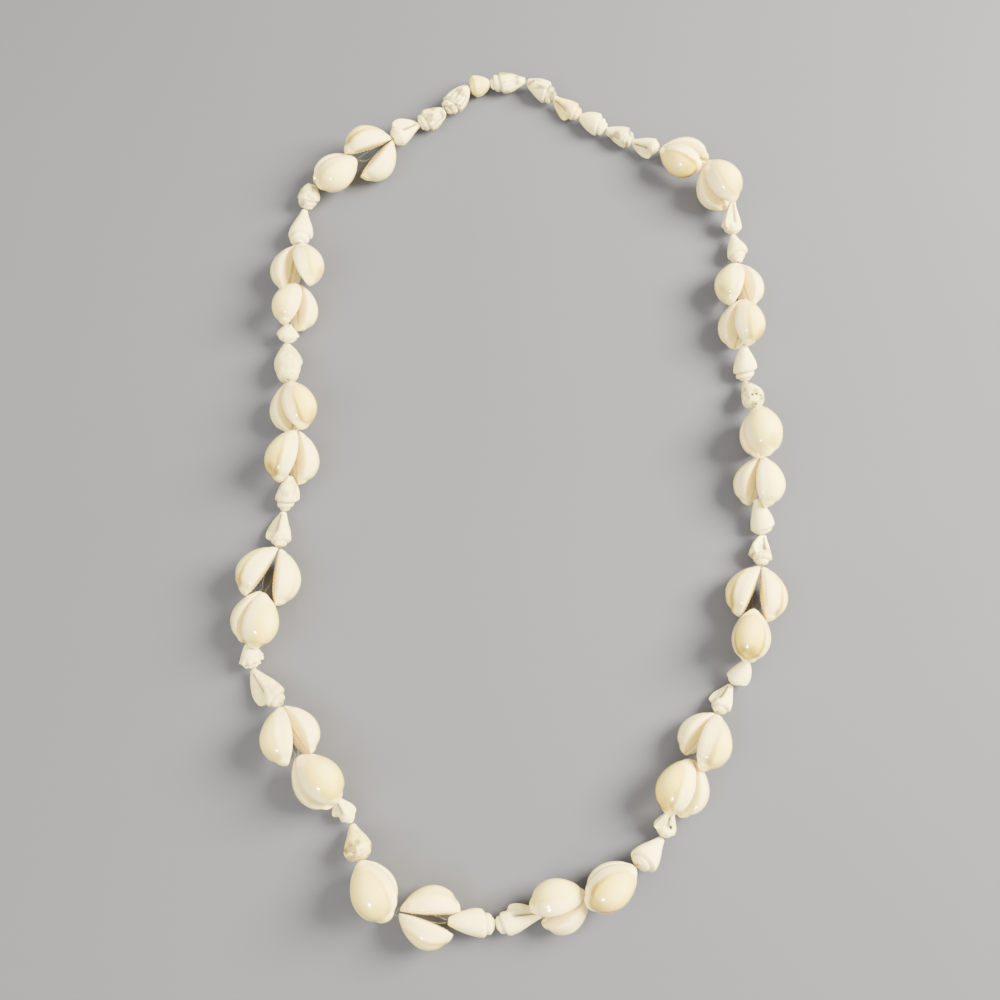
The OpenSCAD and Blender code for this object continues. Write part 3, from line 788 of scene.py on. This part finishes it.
def lay_thread(finish):
    """Both strands, each once round the loop."""
    curve = bpy.data.curves.new("thread_strands", "CURVE")
    curve.dimensions = "3D"
    curve.bevel_depth = STRAND_RADIUS * MM
    curve.bevel_resolution = 2
    curve.resolution_u = 3
    for half in (1, -1):
        route = strand_points(1, half) + strand_points(-1, -half)[::-1]
        spline = curve.splines.new("BEZIER")
        spline.bezier_points.add(len(route) - 1)
        for knot, point in zip(spline.bezier_points, route):
            knot.co = point * MM
            knot.handle_left_type = knot.handle_right_type = "AUTO"
        spline.use_cyclic_u = True
    rough = bpy.data.objects.new("thread_route", curve)
    bpy.context.scene.collection.objects.link(rough)
    mesh = bpy.data.meshes.new_from_object(rough.evaluated_get(bpy.context.evaluated_depsgraph_get()))
    bpy.data.objects.remove(rough)
    mesh.name = "thread_strands"
    mesh.polygons.foreach_set("use_smooth", [True] * len(mesh.polygons))
    mesh.materials.clear()
    mesh.materials.append(finish)
    piece = bpy.data.objects.new("thread_strands", mesh)
    bpy.context.scene.collection.objects.link(piece)
    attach(piece, BODY)
    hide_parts("thread")


# Finishes


def tone(red, green, blue):
    """A colour as its eye values from 0 to 255, turned into light values."""
    parts = [v / 255 for v in (red, green, blue)]
    return tuple(v / 12.92 if v <= 0.04045 else ((v + 0.055) / 1.055) ** 2.4 for v in parts) + (1.0,)


def put(tree, socket, value):
    if isinstance(value, bpy.types.NodeSocket):
        tree.links.new(value, socket)
    else:
        socket.default_value = value


def add_node(tree, kind, inputs=None, **settings):
    node = tree.nodes.new(kind)
    for name, value in settings.items():
        setattr(node, name, value)
    for name, value in (inputs or {}).items():
        put(tree, node.inputs[name], value)
    return node


def maths(tree, operation, *values):
    return add_node(tree, "ShaderNodeMath", dict(enumerate(values)), operation=operation).outputs[0]


def multiply(tree, *values):
    product = values[0]
    for value in values[1:]:
        product = maths(tree, "MULTIPLY", product, value)
    return product


def fade(tree, value, low, high, start=0.0, end=1.0):
    """Goes smoothly from start to end while value goes from low to high."""
    inputs = {"Value": value, "From Min": low, "From Max": high, "To Min": start, "To Max": end}
    return add_node(tree, "ShaderNodeMapRange", inputs, interpolation_type="SMOOTHSTEP").outputs["Result"]


def blend(tree, share, first, second):
    """Mixes two colours, which go to the node's sockets 6 and 7."""
    return add_node(tree, "ShaderNodeMix", {0: share, 6: first, 7: second}, data_type="RGBA").outputs[2]


def wavy(tree, value, field, depth):
    """Makes a value waver by a field that goes from 0 to 1."""
    return maths(tree, "ADD", value, multiply(tree, maths(tree, "SUBTRACT", field, 0.5), depth))


def distance(tree, x, y, middle, size):
    """How far a point is from the middle of an ellipse, in shares of the ellipse's half size."""
    parts = []
    for value, at, half in ((x, middle[0], size[0]), (y, middle[1], size[1])):
        share = maths(tree, "DIVIDE", maths(tree, "SUBTRACT", value, at), half)
        parts.append(maths(tree, "POWER", share, 2.0))
    return maths(tree, "SQRT", maths(tree, "ADD", *parts))


def paint(tree, colour, layers):
    """Lays further colours over the first one, each by its share."""
    for share, layer in layers:
        colour = blend(tree, share, colour, layer)
    return colour


def read(tree, name):
    """The vector that a piece stores at each point, whole and in its three parts."""
    source = add_node(tree, "ShaderNodeAttribute", attribute_name=name)
    parts = add_node(tree, "ShaderNodeSeparateXYZ", {"Vector": source.outputs["Vector"]})
    return source.outputs["Vector"], parts.outputs["X"], parts.outputs["Y"], parts.outputs["Z"]


# Each noise field of the wear: how much finer it is than the clouds, and its detail
WEAR_FIELDS = {"Clouds": (1.0, 4.0), "Grain": (11.0, 6.0)}
FIELD_FADE = (0.3, 0.7)
PITS_FINER = 7.0
PIT_FADE = (0.16, 0.04)


def make_wear_group():
    """Cloudy patches, fine grain and small pits of a sea shell, each from 0 to 1."""
    group = bpy.data.node_groups.new("Shell wear", "ShaderNodeTree")
    for title, kind in (("Place", "Vector"), ("Seed", "Float"), ("Size", "Float")):
        group.interface.new_socket(title, in_out="INPUT", socket_type=f"NodeSocket{kind}")
    for title in ("Clouds", "Grain", "Pits"):
        group.interface.new_socket(title, in_out="OUTPUT", socket_type="NodeSocketFloat")
    enter, leave = group.nodes.new("NodeGroupInput"), group.nodes.new("NodeGroupOutput")
    seed, size = enter.outputs["Seed"], enter.outputs["Size"]
    offset = add_node(group, "ShaderNodeCombineXYZ", {"X": seed, "Y": seed}).outputs[0]
    moved = add_node(group, "ShaderNodeVectorMath", {0: enter.outputs["Place"], 1: offset}, operation="ADD")
    place = moved.outputs[0]
    for title, (finer, detail) in WEAR_FIELDS.items():
        inputs = {"Vector": place, "Scale": multiply(group, size, finer), "Detail": detail}
        field = add_node(group, "ShaderNodeTexNoise", inputs)
        put(group, leave.inputs[title], fade(group, field.outputs["Fac"], *FIELD_FADE))
    inputs = {"Vector": place, "Scale": multiply(group, size, PITS_FINER)}
    cells = add_node(group, "ShaderNodeTexVoronoi", inputs)
    put(group, leave.inputs["Pits"], fade(group, cells.outputs["Distance"], *PIT_FADE))
    return group


WEAR = make_wear_group()


def wear(tree, place, seed, size):
    inputs = {"Place": place, "Seed": seed, "Size": size}
    node = add_node(tree, "ShaderNodeGroup", inputs, node_tree=WEAR)
    return node.outputs["Clouds"], node.outputs["Grain"], node.outputs["Pits"]


def new_finish(name, **values):
    material = bpy.data.materials.new(name)
    material.use_nodes = True
    tree = material.node_tree
    shader = tree.nodes["Principled BSDF"]
    for title, value in values.items():
        put(tree, shader.inputs[title.replace("_", " ")], value)
    return material, tree, shader


def raise_relief(tree, shader, relief, strength, metres):
    inputs = {"Height": relief, "Strength": strength, "Distance": metres}
    put(tree, shader.inputs["Normal"], add_node(tree, "ShaderNodeBump", inputs).outputs["Normal"])


# In the next two parts a fade is the value where it starts, the value where it ends and, where they aren't 0
# and 1, its shares there

# Ring cowrie: colours, then middles and half sizes of the ring and the spot as shares of the shell's length
PORCELAIN = tone(253, 238, 172)
BACK_YELLOW = tone(236, 206, 0)
BACK_BEIGE = tone(222, 193, 56)
RING_OLIVE = tone(146, 122, 4)
SPOT_OCHRE = tone(162, 138, 0)
BASE_CREAM = tone(246, 226, 164)
MARGIN_ROSE = tone(250, 226, 200)
# Painted shade deep inside the mouth's slit, in a pale brown
COWRIE_MOUTH_SHADE = tone(232, 216, 150)
RING_MIDDLE = (0.55, 0.0)
RING_SIZE = (0.4, 0.262)
RING_WAVE = 0.05
SPOT_MIDDLE = (0.82, 0.07)
SPOT_SIZE = (0.1, 0.115)
SPOT_WAVE = 0.4
# By height: the back, the base, and the roof and the edge of the mouth's painted shade
BACK_FADE = (0.15, 0.24)
BASE_FADE = (0.1, 0.03)
ROOF_FADE = (0.115, 0.1)
EDGE_FADE = (0.015, 0.05)
# By distance from the middle of the ring: the yellow inside it, its paler middle and the rosy margin
INSIDE_FADE = (1.08, 0.9)
PALER_FADE = (0.1, 0.95, 0.5, 1.0)
MARGIN_FADE = (1.05, 1.25)
# By distance from the line of the ring and from the spot
LINE_FADE = (0.15, 0.01)
SPOT_FADE = (1.5, 0.0)
# Along the shell: the line and the yellow are fainter near the tip, and the mouth's painted shade has two
# ends
LINE_ALONG = (0.2, 0.8, 0.35, 1.0)
YELLOW_ALONG = (0.15, 0.75, 0.65, 1.0)
MOUTH_TIP_FADE = (0.08, 0.2)
MOUTH_END_FADE = (0.94, 0.84)
MOUTH_SIDE_FADE = (0.036, 0.014)
# A spot strength of about 2 stands for a spot on both sides
BOTH_SPOTS_FADE = (1.2, 1.8)
# Roughness by the clouds, then how much finer than the shell the wear is, and how strong the cream
# clouds, the margin, the marks and the base are
GLAZE_FADE = (0.0, 1.0, 0.16, 0.28)
COWRIE_WEAR_SIZE = 5.0
CLOUDS_SHARE = 0.25
MARGIN_SHARE = 0.55
MARKS_SHARE = 0.9
BASE_SHARE = 0.5


def cowrie_spot(tree, x, y, grain, strength):
    """Share of the ochre spot, which lies on one side of the back or on both."""
    both = fade(tree, strength, *BOTH_SPOTS_FADE)
    to_right = maths(tree, "SUBTRACT", maths(tree, "ABSOLUTE", y), y)
    folded = maths(tree, "ADD", y, multiply(tree, both, to_right))
    far = wavy(tree, distance(tree, x, folded, SPOT_MIDDLE, SPOT_SIZE), grain, SPOT_WAVE)
    return multiply(tree, fade(tree, far, *SPOT_FADE), maths(tree, "MINIMUM", strength, 1.0))


def cowrie_mouth_shade(tree, x, y, z):
    """Share of the painted shade deep inside the mouth."""
    across = fade(tree, maths(tree, "ABSOLUTE", y), *MOUTH_SIDE_FADE)
    deep = multiply(tree, fade(tree, z, *ROOF_FADE), fade(tree, z, *EDGE_FADE))
    along = multiply(tree, fade(tree, x, *MOUTH_TIP_FADE), fade(tree, x, *MOUTH_END_FADE))
    return multiply(tree, across, deep, along)


def finish_cowrie():
    """Glazed shell with a thin ring and a spot on its back, and painted shade deep in its mouth below."""
    material, tree, shader = new_finish("glazed_cowrie", Roughness=0.2, Coat_Weight=1.0, Coat_Roughness=0.06)
    place, x, y, z = read(tree, "shell_point")
    _, ring, fill, spot = read(tree, "shell_marks")
    _, seed, warmth, _ = read(tree, "shell_kind")
    clouds, grain, _ = wear(tree, place, seed, COWRIE_WEAR_SIZE)
    reach = wavy(tree, distance(tree, x, y, RING_MIDDLE, RING_SIZE), clouds, RING_WAVE)
    back = fade(tree, z, *BACK_FADE)
    inside = multiply(tree, fade(tree, reach, *INSIDE_FADE), back, fade(tree, reach, *PALER_FADE))
    yellow = multiply(tree, inside, fill, fade(tree, x, *YELLOW_ALONG))
    from_line = maths(tree, "ABSOLUTE", maths(tree, "SUBTRACT", reach, 1.0))
    line = multiply(tree, fade(tree, from_line, *LINE_FADE), back, ring, fade(tree, x, *LINE_ALONG))
    stain = multiply(tree, cowrie_spot(tree, x, y, grain, spot), back)
    layers = (
        (yellow, blend(tree, warmth, BACK_BEIGE, BACK_YELLOW)),
        (multiply(tree, clouds, CLOUDS_SHARE), BASE_CREAM),
        (multiply(tree, fade(tree, reach, *MARGIN_FADE), MARGIN_SHARE), MARGIN_ROSE),
        (multiply(tree, line, MARKS_SHARE), RING_OLIVE),
        (multiply(tree, stain, MARKS_SHARE), SPOT_OCHRE),
        (multiply(tree, fade(tree, z, *BASE_FADE), BASE_SHARE), BASE_CREAM),
        (cowrie_mouth_shade(tree, x, y, z), COWRIE_MOUTH_SHADE),
    )
    put(tree, shader.inputs["Base Color"], paint(tree, PORCELAIN, layers))
    put(tree, shader.inputs["Roughness"], fade(tree, clouds, *GLAZE_FADE))
    raise_relief(tree, shader, grain, strength=0.05, metres=0.0002)
    return material


# Small spiral shell: colours
CHALK = tone(251, 238, 196)
CHALK_CREAM = tone(230, 204, 84)
GROOVE_GREY_AND_SHADE = tone(60, 54, 42)
STAIN_GREY = tone(100, 94, 78)
MOUTH_SHADE = tone(92, 80, 50)
# Pits and worn holes are painted near black as the shade inside them
PIT_PAINTED_SHADE = tone(22, 19, 14)
# By the clouds: the cream and the grey patches; by the grain: the grey and painted shade of the grooves
CREAM_FADE = (0.1, 0.9, 0.5, 0.95)
PATCH_FADE = (0.45, 0.9)
PATCH_SHARE = 0.8
GROOVE_FADE = (0.2, 0.8, 0.35, 1.0)
# How much painted shade every groove takes at least, and how much grey a grey shell adds to it
GROOVE_LEAST_SHADE = 0.36
GROOVE_SHARE = 0.6
# Holes are painted dark all over as shade, and the mouth takes painted shade toward its middle
HOLE_FADE = (0.35, 0.75)
SHADE_FADE = (0.25, 0.9)
SHADE_SHARE = 0.8
# Roughness by the grain, and how much finer than the shell the wear is
SATIN_FADE = (0.0, 1.0, 0.34, 0.52)
SPIRAL_WEAR_SIZE = 3.4
# Fine lines across the shell, stronger near the tip, with the grain and the pits
LINES_FINE = 170.0
LINES_WAVE = 5.0
LINES_ALONG = (0.6, 0.1, 0.06, 0.3)
GRAIN_HEIGHT = 0.9
PITS_DEPTH = 0.15


def finish_spiral():
    """Satin shell, fine lines across it, grey and painted shade in its grooves, painted shade in its mouth.
    """
    material, tree, shader = new_finish(
        "satin_spiral_shell", Roughness=0.42, Coat_Weight=0.15, Coat_Roughness=0.2
    )
    place, x, _, _ = read(tree, "shell_point")
    _, groove, grey, cream = read(tree, "shell_marks")
    _, seed, mouth, pitted = read(tree, "shell_kind")
    clouds, grain, pits = wear(tree, place, seed, SPIRAL_WEAR_SIZE)
    groove_grey_and_shade = maths(tree, "ADD", multiply(tree, grey, GROOVE_SHARE), GROOVE_LEAST_SHADE)
    layers = (
        (multiply(tree, cream, fade(tree, clouds, *CREAM_FADE)), CHALK_CREAM),
        (multiply(tree, fade(tree, clouds, *PATCH_FADE), grey, PATCH_SHARE), STAIN_GREY),
        (multiply(tree, groove, fade(tree, grain, *GROOVE_FADE), groove_grey_and_shade), GROOVE_GREY_AND_SHADE),
        (multiply(tree, pits, pitted), PIT_PAINTED_SHADE),
        (fade(tree, pitted, *HOLE_FADE), PIT_PAINTED_SHADE),
        (multiply(tree, fade(tree, mouth, *SHADE_FADE), SHADE_SHARE), MOUTH_SHADE),
    )
    put(tree, shader.inputs["Base Color"], paint(tree, CHALK, layers))
    put(tree, shader.inputs["Roughness"], fade(tree, grain, *SATIN_FADE))
    lines = maths(tree, "SINE", wavy(tree, multiply(tree, x, LINES_FINE), grain, LINES_WAVE))
    lined = multiply(tree, lines, fade(tree, x, *LINES_ALONG))
    relief = maths(tree, "ADD", lined, multiply(tree, grain, GRAIN_HEIGHT))
    sunk = multiply(tree, pits, maths(tree, "ADD", pitted, PITS_DEPTH))
    relief = maths(tree, "SUBTRACT", relief, sunk)
    raise_relief(tree, shader, relief, strength=0.45, metres=0.00015)
    return material


FIBRE_DARK = tone(226, 221, 204)
FIBRE_LIGHT = tone(238, 235, 222)
TWIST_FINE = 900.0
TWIST_WAVE = 1.5


def finish_thread():
    """Thin, mostly clear stringing line with a faint twist."""
    material, tree, shader = new_finish("stringing_thread", Roughness=0.2, Alpha=0.14)
    place = add_node(tree, "ShaderNodeTexCoord").outputs["Object"]
    inputs = {"Vector": place, "Scale": TWIST_FINE, "Distortion": TWIST_WAVE}
    twist = add_node(tree, "ShaderNodeTexWave", inputs, bands_direction="DIAGONAL").outputs["Fac"]
    put(tree, shader.inputs["Base Color"], blend(tree, twist, FIBRE_DARK, FIBRE_LIGHT))
    raise_relief(tree, shader, twist, strength=0.3, metres=0.00004)
    return material


FLOOR_DARK = tone(83, 85, 111)
FLOOR_LIGHT = tone(87, 89, 115)


def finish_floor():
    """Plain pale floor. It is toned toward blue because the lamps are warm."""
    material, tree, shader = new_finish("pale_floor", Roughness=0.8)
    place = add_node(tree, "ShaderNodeTexCoord").outputs["Object"]
    field = add_node(tree, "ShaderNodeTexNoise", {"Vector": place, "Scale": 6.0, "Detail": 3.0})
    put(tree, shader.inputs["Base Color"], blend(tree, field.outputs["Fac"], FLOOR_DARK, FLOOR_LIGHT))
    return material


# Putting it together

glazed = finish_cowrie()
satin = finish_spiral()
fibre = finish_thread()
for side in (1, -1):
    for k in range(PAIRS):
        string_pair(side, k, glazed)
    string_small([(side, i) for i in range(NECK_SHELLS)], f"neck_shells_{side_name(side)}", satin)
    for k in range(PAIRS // REPEAT_PAIRS - 1):
        first = NECK_SHELLS + REPEAT * k + REPEAT_PAIRS
        string_small([(side, first), (side, first + 1)], f"spacer_shells_{side_name(side)}_{k + 1}", satin)
string_small([(1, BEADS - 1), (-1, BEADS - 1)], "bottom_shells", satin)
lay_thread(fibre)
for kind in COWRIES:
    bpy.data.meshes.remove(kind.mesh)

# Floor, light and camera, in metres, watts and degrees, with the lens and sensor in millimetres

FLOOR_SIZE = 6.0
CAMERA_TILT = 13.0
CAMERA_FAR = 0.383
CAMERA_LENS = 37.8
SENSOR_WIDTH = 36.0
NEAREST_SEEN = 0.01
ROOM_COLOUR = (1.0, 0.95, 0.62, 1)
ROOM_STRENGTH = 1.3

# Lamps that look at the origin: the softboxes light the shells, and the small lamp only shines in their glaze
Lamp = namedtuple("Lamp", "name place size power colour lights shines")
LAMPS = [
    Lamp("key_softbox", (0.75, 0.2, 0.6), 0.6, 94.0, (1.0, 0.92, 0.5), True, False),
    Lamp("fill_softbox", (-0.7, -0.3, 0.8), 0.9, 18.0, (1.0, 0.94, 0.58), True, False),
    Lamp("small_lamp", (-0.25, -0.55, 0.5), 0.11, 9.0, (1.0, 0.95, 0.85), False, True),
]


def lay_floor():
    bm = bmesh.new()
    bmesh.ops.create_grid(bm, x_segments=1, y_segments=1, size=FLOOR_SIZE / 2)
    mesh = bpy.data.meshes.new("floor")
    bm.to_mesh(mesh)
    bm.free()
    mesh.materials.append(finish_floor())
    floor = bpy.data.objects.new("floor", mesh)
    bpy.context.scene.collection.objects.link(floor)


def hang_lamp(lamp):
    light = bpy.data.lights.new(lamp.name, "AREA")
    light.shape = "DISK"
    light.size = lamp.size
    light.energy = lamp.power
    light.color = lamp.colour
    hung = bpy.data.objects.new(lamp.name, light)
    hung.location = lamp.place
    hung.rotation_euler = (-Vector(lamp.place)).to_track_quat("-Z", "Y").to_euler()
    hung.visible_diffuse = lamp.lights
    hung.visible_glossy = lamp.shines
    bpy.context.scene.collection.objects.link(hung)


def set_camera():
    """Camera at the photograph's place, which looks at the origin of the tables."""
    camera = bpy.data.objects.new("camera", bpy.data.cameras.new("camera"))
    camera.data.lens = CAMERA_LENS
    camera.data.sensor_width = SENSOR_WIDTH
    camera.data.clip_start = NEAREST_SEEN
    tilt = math.radians(CAMERA_TILT)
    back = CAMERA_FAR * math.sin(tilt)
    camera.location = (-MIDDLE_X * MM, -MIDDLE_Y * MM - back, CAMERA_FAR * math.cos(tilt))
    camera.rotation_euler = (tilt, 0, 0)
    bpy.context.scene.collection.objects.link(camera)
    bpy.context.scene.camera = camera


def light_world():
    world = bpy.data.worlds.new("soft_room")
    world.use_nodes = True
    background = world.node_tree.nodes["Background"]
    background.inputs["Color"].default_value = ROOM_COLOUR
    background.inputs["Strength"].default_value = ROOM_STRENGTH
    bpy.context.scene.world = world


lay_floor()
light_world()
for lamp in LAMPS:
    hang_lamp(lamp)
set_camera()
